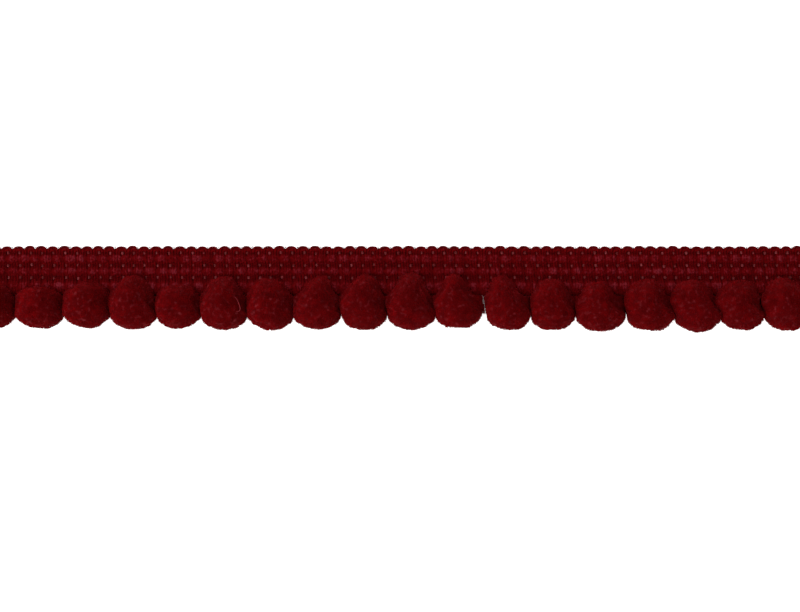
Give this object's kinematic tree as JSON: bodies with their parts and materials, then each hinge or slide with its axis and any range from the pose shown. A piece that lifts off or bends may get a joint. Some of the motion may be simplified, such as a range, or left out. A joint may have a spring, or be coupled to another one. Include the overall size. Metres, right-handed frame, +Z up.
{
  "type": "cut length of pompom trim",
  "caption": "Flat cut length of narrow crochet-knitted trim with a scalloped selvedge and a row of small cut-pile pompoms along its foot, for edging cushions, curtains and clothes.",
  "frame": {"origin": "under the middle of the trim's bounding box, on the surface that it lies on", "axes": "+X along the trim, +Y across it from the pompoms towards the scalloped selvedge, +Z up out of its face"},
  "size_m": [0.1046, 0.0104, 0.0055],
  "materials": {
    "tape_yarn": "matt thick weft yarn bound by fine shiny chain stitches",
    "pompom_pile": "dense shorn cut pile, velvety"
  },
  "bodies": {
    "root": {"tape": "tape_yarn", "pompom_01": "pompom_pile", "pompom_02": "pompom_pile", "pompom_03": "pompom_pile", "pompom_04": "pompom_pile", "pompom_05": "pompom_pile", "pompom_06": "pompom_pile", "pompom_07": "pompom_pile", "pompom_08": "pompom_pile", "pompom_09": "pompom_pile", "pompom_10": "pompom_pile", "pompom_11": "pompom_pile", "pompom_12": "pompom_pile", "pompom_13": "pompom_pile", "pompom_14": "pompom_pile", "pompom_15": "pompom_pile", "pompom_16": "pompom_pile", "pompom_17": "pompom_pile", "pompom_18": "pompom_pile"}
  },
  "joints": []
}
